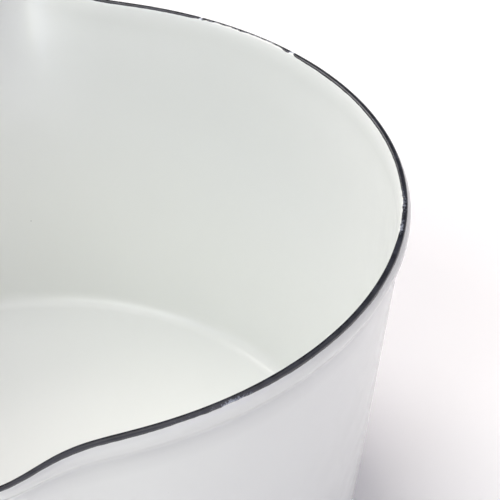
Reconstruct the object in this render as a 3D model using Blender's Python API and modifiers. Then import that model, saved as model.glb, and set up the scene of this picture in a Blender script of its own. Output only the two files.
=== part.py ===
"""Enamelled steel milk pan with two pour lips, a turned wooden handle and a hanging ring.

Metres, +Z up. The origin is the centre of the underside. The pour lips point along -Y and +Y,
and the handle points along -X and rises. Pieces that touch keep a gap of TOUCH_GAP.
"""

import math

import bmesh
import bpy
from mathutils import Matrix, Vector

# Vessel. Depth is measured down from the rim's top.
RIM_RADIUS = 0.080
WALL_TAPER = 0.116
WALL_THICKNESS = 0.0014
BASE_THICKNESS = 0.0014
INNER_DEPTH = 0.0796
HEIGHT = INNER_DEPTH + BASE_THICKNESS
WALL_RADIUS_AT_RIM = 1.007 * RIM_RADIUS
FLOOR_FILLET = 0.0036
FOOT_FILLET = FLOOR_FILLET + WALL_THICKNESS

# Rim: a thickened bead under a flat top, and a thin coat of dark enamel on that top.
EDGE_INNER_RADIUS = 0.992 * RIM_RADIUS
EDGE_OUTER_RADIUS = 1.0075 * RIM_RADIUS
BEAD_RADIUS = 1.0165 * RIM_RADIUS
BEAD_DEPTH = 0.0020
CREASE_DEPTH = 0.0042
FLARE_DEPTH = 0.0050
COAT_HEIGHT = 0.0007
COAT_ROUNDING = 0.0003

# Pour lips.
LIP_ANGLES = (math.radians(-90), math.radians(90))
LIP_REACH = 0.0102
LIP_SPREAD = math.radians(5.65)
LIP_DEPTH = 0.032
LIP_FADE_POWER = 1.7

# Handle. Its pieces lie on one axis, at distances from the point where the axis meets the wall.
HANDLE_HEIGHT = 0.062
HANDLE_TILT = math.radians(15)
PLATE_THICKNESS = 0.0015
PLATE_HALF_HEIGHT = 0.0125
PLATE_HALF_ANGLE = math.radians(14.5)
PLATE_SQUARENESS = 2.8
SOCKET_ROOT_RADIUS = 0.0090
SOCKET_MOUTH_RADIUS = 0.0105
SOCKET_UNCUT_START = -0.006
SOCKET_END = 0.036
SOCKET_THICKNESS = 0.0012
ANCHOR_START = 0.007
ANCHOR_END = 0.011
FERRULE_LENGTH = 0.008
FERRULE_SMALL_RADIUS = 0.0112
FERRULE_LARGE_RADIUS = 0.0124
FERRULE_CROWN = 0.0004
TENON_RADIUS = 0.0088
TENON_START = 0.024
GRIP_LENGTH = 0.116
GRIP_NECK_RADIUS = 0.0122
GRIP_BELLY_RADIUS = 0.0143
GRIP_BELLY_SHARE = 0.58
GRIP_TAIL_RADIUS = 0.0112
GRIP_END_ROUNDING = 0.0030
WASHER_RADIUS = 0.0078
WASHER_THICKNESS = 0.0022
ROD_RADIUS = 0.0025
ROD_START = 0.0050
ROD_LENGTH_IN_NUT = 0.0045
EYE_COLLAR_RADIUS = 0.0045
EYE_COLLAR_LENGTH = 0.0072
EYE_SHOULDER_LENGTH = 0.0022
EYE_NECK_RADIUS = 0.00245
EYE_RING_RADIUS = 0.0050
EYE_WIRE_RADIUS = 0.00175
EYE_REACH = 0.0118

# Hanging ring.
HANGER_RADIUS = 0.0140
HANGER_WIRE_RADIUS = 0.00125

TOUCH_GAP = 0.0003
MERGE_DISTANCE = 0.00001
SMOOTH_ANGLE = math.radians(35)
ARC_STEPS = 4
VESSEL_SEGMENTS = 96
SEGMENT_CROWDING = 0.25
HANDLE_SEGMENTS = 32
EYE_SEGMENTS = 24
WIRE_SEGMENTS = 10

# Places along the handle's axis that follow from the sizes above.
FERRULE_START = SOCKET_END + TOUCH_GAP
FERRULE_END = FERRULE_START + FERRULE_LENGTH
GRIP_START = FERRULE_END + TOUCH_GAP
GRIP_END = GRIP_START + GRIP_LENGTH
WASHER_START = GRIP_END + TOUCH_GAP
WASHER_END = WASHER_START + WASHER_THICKNESS
EYE_START = WASHER_END + TOUCH_GAP
EYE_CENTRE = EYE_START + EYE_REACH
ROD_END = EYE_START + ROD_LENGTH_IN_NUT
BORE_RADIUS = ROD_RADIUS + TOUCH_GAP

WHITE_ENAMEL = ("white_enamel", (0.80, 0.82, 0.80), 0.18, 0.0)
DARK_ENAMEL = ("dark_enamel", (0.018, 0.020, 0.030), 0.22, 0.0)
STEEL = ("steel", (0.62, 0.62, 0.60), 0.28, 1.0)
WOOD = ("wood", (0.50, 0.31, 0.16), 0.55, 0.0)


def clear_scene():
    for obj in list(bpy.data.objects):
        bpy.data.objects.remove(obj)


def new_collection(name):
    collection = bpy.data.collections.new(name)
    bpy.context.scene.collection.children.link(collection)
    return collection


def finish_of(name, look):
    """Each piece has its own material, named for the piece and what it is made of."""
    kind, colour, roughness, metallic = look
    material = bpy.data.materials.new(f"{name}_{kind}")
    material.use_nodes = True
    shader = material.node_tree.nodes["Principled BSDF"]
    shader.inputs["Base Color"].default_value = (*colour, 1.0)
    shader.inputs["Roughness"].default_value = roughness
    shader.inputs["Metallic"].default_value = metallic
    return material


def add_object(name, mesh, collection, look=None, parent=None):
    obj = bpy.data.objects.new(name, mesh)
    collection.objects.link(obj)
    obj.parent = parent
    if look:
        mesh.materials.append(finish_of(name, look))
    return obj


def outline_mesh(name, points, closed):
    """A line of edges through (radius, height) points, in the XZ plane."""
    mesh = bpy.data.meshes.new(name)
    edges = [(i, i + 1) for i in range(len(points) - 1)]
    if closed:
        edges.append((len(points) - 1, 0))
    mesh.from_pydata([(x, 0.0, z) for x, z in points], edges, [])
    return mesh


def turned(name, points, segments, collection, look, parent=None, closed=True):
    """A profile turned about the object's Z axis. The points run down the outer side."""
    obj = add_object(name, outline_mesh(name, points, closed), collection, look, parent)
    screw = obj.modifiers.new("turn", "SCREW")
    screw.steps = segments
    screw.render_steps = segments
    screw.use_merge_vertices = True
    screw.merge_threshold = MERGE_DISTANCE
    return obj


def keep_result(obj):
    """Replaces an object's mesh with the one its modifiers make."""
    graph = bpy.context.evaluated_depsgraph_get()
    mesh = bpy.data.meshes.new_from_object(obj.evaluated_get(graph))
    obj.modifiers.clear()
    obj.data = mesh
    return mesh


def arc(centre, radius, start, end, steps):
    """Points along an arc, with angles in degrees from +X towards +Z."""
    angles = [math.radians(start + (end - start) * i / steps) for i in range(steps + 1)]
    return [
        (centre[0] + radius * math.cos(a), centre[1] + radius * math.sin(a)) for a in angles
    ]


def outer_wall_radius(height):
    return WALL_RADIUS_AT_RIM - WALL_TAPER * (HEIGHT - height)


def inner_wall_radius(height):
    return outer_wall_radius(height) - WALL_THICKNESS / math.cos(math.atan(WALL_TAPER))


def corner_fillet(wall_radius, floor_height, fillet):
    """The arc between a level floor and the leaning wall, from the wall to the floor."""
    lean = math.degrees(math.atan(WALL_TAPER))
    height = floor_height + fillet
    slant = fillet / math.cos(math.radians(lean))
    centre = (wall_radius(height) - slant, height)
    return arc(centre, fillet, -lean, -90, ARC_STEPS)


def bead_points():
    """The bead's outer flank, from the coat's lower edge out and down to the crease."""
    top = (EDGE_OUTER_RADIUS, HEIGHT - COAT_HEIGHT - TOUCH_GAP)
    widest = (BEAD_RADIUS, HEIGHT - BEAD_DEPTH)
    crease = (outer_wall_radius(HEIGHT - CREASE_DEPTH), HEIGHT - CREASE_DEPTH)
    upper = [quarter_point(top, widest, i / ARC_STEPS) for i in range(ARC_STEPS + 1)]
    lower = [s_point(widest, crease, i / ARC_STEPS) for i in range(1, ARC_STEPS + 1)]
    return upper + lower


def quarter_point(start, end, share):
    """A point of a quarter ellipse that leaves start level and reaches end upright."""
    turn = share * math.pi / 2
    x = start[0] + (end[0] - start[0]) * math.sin(turn)
    z = start[1] + (end[1] - start[1]) * (1 - math.cos(turn))
    return (x, z)


def s_point(start, end, share):
    """A point of an S-curve that is upright at both ends."""
    x = start[0] + (end[0] - start[0]) * (1 - math.cos(share * math.pi)) / 2
    z = start[1] + (end[1] - start[1]) * share
    return (x, z)


def vessel_profile():
    """The bowl's whole section: down the outside, in to the axis, and back up the inside."""
    edge_height = HEIGHT - COAT_HEIGHT - TOUCH_GAP
    flare_height = HEIGHT - FLARE_DEPTH
    points = bead_points()
    points += corner_fillet(outer_wall_radius, 0.0, FOOT_FILLET)
    points += [(0.0, 0.0), (0.0, BASE_THICKNESS)]
    points += reversed(corner_fillet(inner_wall_radius, BASE_THICKNESS, FLOOR_FILLET))
    points.append((inner_wall_radius(flare_height), flare_height))
    points.append((EDGE_INNER_RADIUS, edge_height))
    return points


def coat_profile():
    """The dark coat's section: a low cap with rounded upper edges."""
    low = HEIGHT - COAT_HEIGHT
    high = HEIGHT - COAT_ROUNDING
    right = EDGE_OUTER_RADIUS - COAT_ROUNDING
    left = EDGE_INNER_RADIUS + COAT_ROUNDING
    points = arc((left, high), COAT_ROUNDING, 180, 90, 2)
    points += arc((right, high), COAT_ROUNDING, 90, 0, 2)
    points += [(EDGE_OUTER_RADIUS, low), (EDGE_INNER_RADIUS, low)]
    return points


def lip_push(angle, height):
    """How far the wall stands out past the round, in metres."""
    rise = 1 - (HEIGHT - height) / LIP_DEPTH
    if rise <= 0:
        return 0.0
    total = 0.0
    for middle in LIP_ANGLES:
        turn = math.remainder(angle - middle, math.tau) / LIP_SPREAD
        total += math.exp(-turn * turn / 2)
    return LIP_REACH * total * min(rise, 1.0) ** LIP_FADE_POWER


def press_lips(mesh):
    """Crowds the mesh's segments towards the lips and pushes the lips out."""
    for vertex in mesh.vertices:
        radius = math.hypot(vertex.co.x, vertex.co.y)
        if radius < MERGE_DISTANCE:
            continue
        angle = math.atan2(vertex.co.y, vertex.co.x)
        angle += SEGMENT_CROWDING * math.sin(2 * angle)
        radius += lip_push(angle, vertex.co.z)
        vertex.co.x = radius * math.cos(angle)
        vertex.co.y = radius * math.sin(angle)


def split_side_rings(mesh, heights):
    """Cuts level rings into the wall, so that the lips can fade down it."""
    sheet = bmesh.new()
    sheet.from_mesh(mesh)
    for height in heights:
        bmesh.ops.bisect_plane(
            sheet,
            geom=sheet.verts[:] + sheet.edges[:] + sheet.faces[:],
            plane_co=(0.0, 0.0, height),
            plane_no=(0.0, 0.0, 1.0),
        )
    sheet.to_mesh(mesh)
    sheet.free()


def add_vessel(collection):
    vessel = turned("vessel", vessel_profile(), VESSEL_SEGMENTS, collection, WHITE_ENAMEL)
    mesh = keep_result(vessel)
    rings = 4
    top = HEIGHT - FLARE_DEPTH
    bottom = HEIGHT - LIP_DEPTH
    split_side_rings(mesh, [bottom + (top - bottom) * i / rings for i in range(rings)])
    press_lips(mesh)


def add_rim_enamel(collection):
    coat = turned("rim_enamel", coat_profile(), VESSEL_SEGMENTS, collection, DARK_ENAMEL)
    press_lips(keep_result(coat))


def add_handle_axis(collection):
    """An empty where the handle's axis meets the wall. Its Z axis runs out along the handle."""
    axis = bpy.data.objects.new("handle_axis", None)
    axis.location = (-outer_wall_radius(HANDLE_HEIGHT), 0.0, HANDLE_HEIGHT)
    axis.rotation_euler = (0.0, HANDLE_TILT - math.pi / 2, 0.0)
    collection.objects.link(axis)
    return axis


def add_handle_plate(collection):
    """A rounded plate that follows the wall's cone."""
    columns = 14
    rows = 10
    mesh = bpy.data.meshes.new("handle_plate")
    sheet = bmesh.new()
    bmesh.ops.create_grid(sheet, x_segments=columns, y_segments=rows, size=1.0)
    for vertex in sheet.verts:
        across, up = rounded_square(vertex.co.x, vertex.co.y)
        height = HANDLE_HEIGHT + PLATE_HALF_HEIGHT * up
        angle = math.pi + PLATE_HALF_ANGLE * across
        radius = outer_wall_radius(height) + TOUCH_GAP
        vertex.co = (radius * math.cos(angle), radius * math.sin(angle), height)
    bmesh.ops.recalc_face_normals(sheet, faces=sheet.faces)
    sheet.to_mesh(mesh)
    sheet.free()
    plate = add_object("handle_plate", mesh, collection, WHITE_ENAMEL)
    outward = mesh.polygons[0].normal.x < 0
    solidify = plate.modifiers.new("thickness", "SOLIDIFY")
    solidify.thickness = PLATE_THICKNESS
    solidify.offset = 1.0 if outward else -1.0


def rounded_square(x, y):
    """Moves a point of the square from -1 to 1 into a square with well rounded corners."""
    reach = max(abs(x), abs(y))
    if reach == 0:
        return (0.0, 0.0)
    length = (abs(x) ** PLATE_SQUARENESS + abs(y) ** PLATE_SQUARENESS) ** (1 / PLATE_SQUARENESS)
    return (x * reach / length, y * reach / length)


def socket_radius(place):
    return SOCKET_ROOT_RADIUS + (SOCKET_MOUTH_RADIUS - SOCKET_ROOT_RADIUS) * place / SOCKET_END


def add_handle_socket(parts, helpers, axis):
    """A tapered tube whose root is cut to the plate's curve."""
    lip = SOCKET_THICKNESS / 3
    mouth = SOCKET_MOUTH_RADIUS
    root = socket_radius(SOCKET_UNCUT_START)
    outline = [
        (mouth - lip, SOCKET_END),
        (mouth, SOCKET_END - lip),
        (root, SOCKET_UNCUT_START),
        (root - SOCKET_THICKNESS, SOCKET_UNCUT_START),
        (mouth - SOCKET_THICKNESS, SOCKET_END),
    ]
    socket = turned("handle_socket", outline, HANDLE_SEGMENTS, parts, WHITE_ENAMEL, axis)
    cutter = add_wall_cutter(helpers)
    cut = socket.modifiers.new("root", "BOOLEAN")
    cut.operation = "DIFFERENCE"
    cut.object = cutter


def add_wall_cutter(helpers):
    """A solid cone as wide as the wall with the plate on it."""
    clearance = PLATE_THICKNESS + 2 * TOUCH_GAP
    mesh = bpy.data.meshes.new("wall_cutter")
    solid = bmesh.new()
    bmesh.ops.create_cone(
        solid,
        cap_ends=True,
        segments=144,
        radius1=outer_wall_radius(0.0) + clearance,
        radius2=outer_wall_radius(HEIGHT) + clearance,
        depth=HEIGHT,
        matrix=Matrix.Translation((0.0, 0.0, HEIGHT / 2)),
    )
    solid.to_mesh(mesh)
    solid.free()
    cutter = add_object("wall_cutter", mesh, helpers)
    cutter.hide_render = True
    cutter.display_type = "WIRE"
    return cutter


def add_rod_anchor(parts, axis):
    """A threaded disc fixed inside the socket."""
    fit = SOCKET_THICKNESS + TOUCH_GAP
    outline = [
        (socket_radius(ANCHOR_END) - fit, ANCHOR_END),
        (socket_radius(ANCHOR_START) - fit, ANCHOR_START),
        (BORE_RADIUS, ANCHOR_START),
        (BORE_RADIUS, ANCHOR_END),
    ]
    turned("rod_anchor", outline, HANDLE_SEGMENTS, parts, STEEL, axis)


def add_tie_rod(parts, axis):
    tip = ROD_RADIUS / 4
    outline = [
        (0.0, ROD_END),
        (ROD_RADIUS - tip, ROD_END),
        (ROD_RADIUS, ROD_END - tip),
        (ROD_RADIUS, ROD_START + tip),
        (ROD_RADIUS - tip, ROD_START),
        (0.0, ROD_START),
    ]
    turned("tie_rod", outline, WIRE_SEGMENTS * 2, parts, STEEL, axis, closed=False)


def add_ferrule(parts, axis):
    """A collar that flares from the socket's mouth to the grip's shoulder."""
    steps = 6
    outline = [(TENON_RADIUS + TOUCH_GAP, FERRULE_START), (TENON_RADIUS + TOUCH_GAP, FERRULE_END)]
    for i in range(steps + 1):
        place = FERRULE_END - FERRULE_LENGTH * i / steps
        share = 1 - i / steps
        radius = FERRULE_SMALL_RADIUS + (FERRULE_LARGE_RADIUS - FERRULE_SMALL_RADIUS) * share
        outline.append((radius + FERRULE_CROWN * math.sin(math.pi * share), place))
    turned("ferrule", outline, HANDLE_SEGMENTS, parts, STEEL, axis)


def grip_radius(share):
    """The grip's outer radius from its shoulder, at 0, to its tail, at 1."""
    if share < GRIP_BELLY_SHARE:
        turn = math.pi * share / GRIP_BELLY_SHARE
        return GRIP_NECK_RADIUS + (GRIP_BELLY_RADIUS - GRIP_NECK_RADIUS) * (1 - math.cos(turn)) / 2
    turn = math.pi * (share - GRIP_BELLY_SHARE) / (1 - GRIP_BELLY_SHARE)
    return GRIP_BELLY_RADIUS + (GRIP_TAIL_RADIUS - GRIP_BELLY_RADIUS) * (1 - math.cos(turn)) / 2


def add_grip(parts, axis):
    """Turned wood with a tenon at the front, a full-length bore and a rounded tail."""
    steps = 14
    straight = GRIP_LENGTH - GRIP_END_ROUNDING
    tail = (grip_radius(1.0) - GRIP_END_ROUNDING, GRIP_END - GRIP_END_ROUNDING)
    outline = [(BORE_RADIUS, TENON_START), (BORE_RADIUS, GRIP_END)]
    outline += arc(tail, GRIP_END_ROUNDING, 90, 0, ARC_STEPS)
    for i in range(1, steps + 1):
        share = 1 - i / steps
        outline.append((grip_radius(share), GRIP_START + straight * share))
    outline.append((TENON_RADIUS, GRIP_START))
    outline.append((TENON_RADIUS, TENON_START))
    turned("grip", outline, HANDLE_SEGMENTS, parts, WOOD, axis)


def add_end_washer(parts, axis):
    """A washer whose outer face is domed."""
    edge = WASHER_THICKNESS / 3
    dome = WASHER_THICKNESS - edge
    flat = EYE_COLLAR_RADIUS
    outline = [(BORE_RADIUS, WASHER_START), (BORE_RADIUS, WASHER_END)]
    for i in range(ARC_STEPS + 1):
        turn = math.pi / 2 * i / ARC_STEPS
        radius = flat + (WASHER_RADIUS - flat) * math.sin(turn)
        outline.append((radius, WASHER_START + edge + dome * math.cos(turn)))
    outline.append((WASHER_RADIUS, WASHER_START))
    turned("end_washer", outline, HANDLE_SEGMENTS, parts, STEEL, axis)


def add_torus(name, radius, wire_radius, segments, collection, parent):
    bpy.ops.mesh.primitive_torus_add(
        major_radius=radius,
        minor_radius=wire_radius,
        major_segments=segments,
        minor_segments=WIRE_SEGMENTS,
    )
    torus = bpy.context.object
    torus.name = name
    for found in list(torus.users_collection):
        found.objects.unlink(torus)
    collection.objects.link(torus)
    torus.parent = parent
    return torus


def add_eye_nut(parts, helpers, axis):
    """A threaded collar joined to an eye whose hole runs level, across the handle."""
    top = EYE_START + EYE_COLLAR_LENGTH
    bore_end = ROD_END + TOUCH_GAP
    outline = [
        (0.0, top),
        (EYE_NECK_RADIUS, top),
        (EYE_COLLAR_RADIUS, top - EYE_SHOULDER_LENGTH),
        (EYE_COLLAR_RADIUS, EYE_START),
        (BORE_RADIUS, EYE_START),
        (BORE_RADIUS, bore_end),
        (0.0, bore_end),
    ]
    nut = turned("eye_nut", outline, EYE_SEGMENTS, parts, STEEL, axis, closed=False)
    eye = add_torus("eye_shape", EYE_RING_RADIUS, EYE_WIRE_RADIUS, EYE_SEGMENTS, helpers, axis)
    eye.location = (0.0, 0.0, EYE_CENTRE)
    eye.rotation_euler = (math.pi / 2, 0.0, 0.0)
    eye.hide_render = True
    eye.display_type = "WIRE"
    join = nut.modifiers.new("eye", "BOOLEAN")
    join.operation = "UNION"
    join.object = eye


def along_handle(place):
    """The world position of a place on the handle's axis."""
    direction = Vector((-math.cos(HANDLE_TILT), 0.0, math.sin(HANDLE_TILT)))
    start = Vector((-outer_wall_radius(HANDLE_HEIGHT), 0.0, HANDLE_HEIGHT))
    return start + direction * place


def add_hanging_ring(parts):
    """A ring that hangs in the eye. The empty it rides on is on the line that it swings about."""
    drop = EYE_RING_RADIUS - EYE_WIRE_RADIUS - HANGER_WIRE_RADIUS - TOUCH_GAP
    pivot = bpy.data.objects.new("ring_pivot", None)
    pivot.location = along_handle(EYE_CENTRE) - Vector((0.0, 0.0, drop))
    parts.objects.link(pivot)
    sizes = (HANGER_RADIUS, HANGER_WIRE_RADIUS, HANDLE_SEGMENTS)
    ring = add_torus("hanging_ring", *sizes, parts, pivot)
    ring.location = (0.0, 0.0, -HANGER_RADIUS)
    ring.rotation_euler = (0.0, math.pi / 2, 0.0)
    ring.data.materials.append(finish_of("hanging_ring", STEEL))


def shade_pieces(collection):
    """Makes each piece's modifiers final and shades it smooth, with its corners kept sharp."""
    bpy.context.view_layer.update()
    for obj in collection.objects:
        if obj.type == "MESH":
            mesh = keep_result(obj)
            mesh.shade_smooth()
            mesh.set_sharp_from_angle(angle=SMOOTH_ANGLE)


def main():
    clear_scene()
    parts = new_collection("milk_pan")
    helpers = new_collection("helpers")
    add_vessel(parts)
    add_rim_enamel(parts)
    axis = add_handle_axis(parts)
    add_handle_plate(parts)
    add_handle_socket(parts, helpers, axis)
    add_rod_anchor(parts, axis)
    add_tie_rod(parts, axis)
    add_ferrule(parts, axis)
    add_grip(parts, axis)
    add_end_washer(parts, axis)
    add_eye_nut(parts, helpers, axis)
    add_hanging_ring(parts)
    shade_pieces(parts)


main()
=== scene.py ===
import math

import bmesh
import bpy
from mathutils import Matrix, Vector, noise


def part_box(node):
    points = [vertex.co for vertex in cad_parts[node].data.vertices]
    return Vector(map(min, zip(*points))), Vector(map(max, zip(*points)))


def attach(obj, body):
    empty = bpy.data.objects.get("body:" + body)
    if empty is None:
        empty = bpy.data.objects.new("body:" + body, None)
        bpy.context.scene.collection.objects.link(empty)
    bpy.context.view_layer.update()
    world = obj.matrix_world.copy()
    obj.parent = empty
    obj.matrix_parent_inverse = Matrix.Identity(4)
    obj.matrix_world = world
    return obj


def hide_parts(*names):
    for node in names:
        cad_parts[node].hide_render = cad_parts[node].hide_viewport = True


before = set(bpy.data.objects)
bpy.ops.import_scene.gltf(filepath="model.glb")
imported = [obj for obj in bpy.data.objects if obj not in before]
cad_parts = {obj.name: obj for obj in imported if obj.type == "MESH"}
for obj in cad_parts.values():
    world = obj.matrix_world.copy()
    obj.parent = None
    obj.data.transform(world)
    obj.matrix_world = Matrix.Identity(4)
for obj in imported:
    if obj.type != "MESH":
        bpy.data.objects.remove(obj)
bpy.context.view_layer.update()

MM = 0.001
PAN = "pan"
RING = "ring"

# Vessel, with the sizes that the CAD model has. Depth is measured down from the rim's top.
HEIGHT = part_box("rim_enamel")[1].z
RIM_RADIUS = 80 * MM
WALL_TAPER = 0.116
WALL_RADIUS_AT_RIM = 1.007 * RIM_RADIUS
WALL_THICKNESS = 1.4 * MM
BASE_THICKNESS = 1.4 * MM
FLOOR_FILLET = 3.6 * MM
FOOT_FILLET = FLOOR_FILLET + WALL_THICKNESS
LEAN = math.atan(WALL_TAPER)
LIP_ANGLES = (math.radians(-90), math.radians(90))
LIP_REACH = 10.2 * MM
LIP_SPREAD = math.radians(5.65)
LIP_DEPTH = 32 * MM
LIP_FADE_POWER = 1.7
SEGMENT_CROWDING = 0.25
VESSEL_COLUMNS = 384
POLE_RADIUS = 6 * MM     # the flat cap at the middle of the floor and the underside
WAVE_HEIGHT = 0.035 * MM
WAVE_LENGTH = 26 * MM
WAVE_FADE = 15 * MM
WAVE_START = 6 * MM
# The crease under the rim's bead, where painted shade makes the enamel greyer.
CREASE_DEPTH = 5.3 * MM
CREASE_HALF_WIDTH = 2.7 * MM

# Dark coat on the rim.
COAT_COLUMNS = 1440
COAT_ROWS = 14
COAT_THICKNESS = 0.08 * MM
COAT_BEDDING = 0.05 * MM

# The handle's axis leaves the wall at this height and tilt. Places are distances along it.
HANDLE_HEIGHT = 62 * MM
HANDLE_TILT = math.radians(15)
HANDLE_COLUMNS = 96
PLATE_THICKNESS = 1.5 * MM
PLATE_HALF_HEIGHT = 12.5 * MM
PLATE_HALF_ANGLE = math.radians(14.5)
PLATE_SQUARENESS = 2.8
SOCKET_ROOT_RADIUS = 9.0 * MM
SOCKET_MOUTH_RADIUS = 10.5 * MM
SOCKET_END = 36 * MM
SOCKET_THICKNESS = 1.2 * MM
ROOT_FILLET = 2.6 * MM
ANCHOR_START = 7 * MM
ANCHOR_END = 11 * MM
FERRULE_LENGTH = 8 * MM
FERRULE_SMALL_RADIUS = 11.2 * MM
FERRULE_LARGE_RADIUS = 12.4 * MM
FERRULE_CROWN = 0.4 * MM
TENON_RADIUS = 8.8 * MM
TENON_START = 24 * MM
GRIP_LENGTH = 116 * MM
GRIP_NECK_RADIUS = 12.2 * MM
GRIP_BELLY_RADIUS = 14.3 * MM
GRIP_BELLY_SHARE = 0.58
GRIP_TAIL_RADIUS = 11.2 * MM
GRIP_END_ROUNDING = 3 * MM
WASHER_RADIUS = 7.8 * MM
WASHER_THICKNESS = 2.2 * MM
ROD_RADIUS = 2.5 * MM
ROD_START = 5 * MM
ROD_LENGTH_IN_NUT = 4.5 * MM
EYE_COLLAR_RADIUS = 4.5 * MM
EYE_COLLAR_LENGTH = 7.2 * MM
EYE_SHOULDER_LENGTH = 2.2 * MM
EYE_NECK_RADIUS = 2.45 * MM
EYE_RING_RADIUS = 5 * MM
EYE_WIRE_RADIUS = 1.75 * MM
EYE_REACH = 11.8 * MM
HANGER_RADIUS = 14 * MM
HANGER_WIRE_RADIUS = 1.25 * MM
TOUCH_GAP = 0.3 * MM

FERRULE_START = SOCKET_END + TOUCH_GAP
FERRULE_END = FERRULE_START + FERRULE_LENGTH
GRIP_START = FERRULE_END + TOUCH_GAP
GRIP_END = GRIP_START + GRIP_LENGTH
WASHER_START = GRIP_END + TOUCH_GAP
WASHER_END = WASHER_START + WASHER_THICKNESS
EYE_START = WASHER_END + TOUCH_GAP
EYE_CENTRE = EYE_START + EYE_REACH
ROD_END = EYE_START + ROD_LENGTH_IN_NUT
BORE_RADIUS = ROD_RADIUS + TOUCH_GAP


# ---------------------------------------------------------------- shapes

def catmull(points, steps):
    """A smooth line through the points, with this many steps between each two."""
    line = []
    padded = [points[0], *points, points[-1]]
    for a, b, c, d in zip(padded, padded[1:], padded[2:], padded[3:]):
        for i in range(steps):
            t = i / steps
            line.append(tuple(
                0.5 * (2 * q + (r - p) * t + (2 * p - 5 * q + 4 * r - s) * t ** 2
                       + (3 * q - p - 3 * r + s) * t ** 3)
                for p, q, r, s in zip(a, b, c, d)
            ))
    line.append(points[-1])
    return line


def arc(centre, radius, start, end, steps):
    """Points along an arc, with angles in degrees from +X towards +Z."""
    angles = [math.radians(start + (end - start) * i / steps) for i in range(steps + 1)]
    return [(centre[0] + radius * math.cos(a), centre[1] + radius * math.sin(a)) for a in angles]


def straight(start, end, steps):
    """Points between start and end, without either of them."""
    return [tuple(p + (q - p) * i / steps for p, q in zip(start, end)) for i in range(1, steps)]


def smooth_step(value):
    value = min(max(value, 0.0), 1.0)
    return value * value * (3 - 2 * value)


def bump_at(value, middle, half_width):
    """A smooth hump, 1 at the middle."""
    return math.exp(-((value - middle) / half_width) ** 2)


def grid_mesh(name, rows, closed=True):
    """A mesh from rows of points that each close into a loop.

    The rows run down the outer side. closed joins the last row to the first, and an open
    mesh has its two ends capped instead.
    """
    width = len(rows[0])
    points = [p for row in rows for p in row]
    faces = []
    for i in range(len(rows) if closed else len(rows) - 1):
        here, below = i * width, (i + 1) % len(rows) * width
        for j in range(width):
            k = (j + 1) % width
            faces.append((here + j, below + j, below + k, here + k))
    if not closed:
        faces.append(tuple(range(width)))
        faces.append(tuple(reversed(range(len(points) - width, len(points)))))
    mesh = bpy.data.meshes.new(name)
    mesh.from_pydata(points, [], faces)
    return mesh


def turned_rows(outline, columns):
    """Rows about the Z axis from (radius, place) points."""
    turns = [math.tau * j / columns for j in range(columns)]
    return [[(r * math.cos(t), r * math.sin(t), z) for t in turns] for r, z in outline]


def store(mesh, name, values):
    """Keeps a number at each point of a mesh, for its material to read."""
    mesh.attributes.new(name, "FLOAT", "POINT").data.foreach_set("value", values)


def add_piece(name, mesh, material, slot, body, *nodes, place=None, sharp=40):
    """A visible piece. Its mesh is moved to its place, and the object stays at the origin."""
    if place:
        mesh.transform(place)
    piece = bpy.data.objects.new(name, mesh)
    bpy.context.scene.collection.objects.link(piece)
    mesh.materials.append(material)
    mesh.shade_smooth()
    mesh.set_sharp_from_angle(angle=math.radians(sharp))
    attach(piece, body)
    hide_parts(*nodes)
    return piece


# ---------------------------------------------------------------- materials

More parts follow.
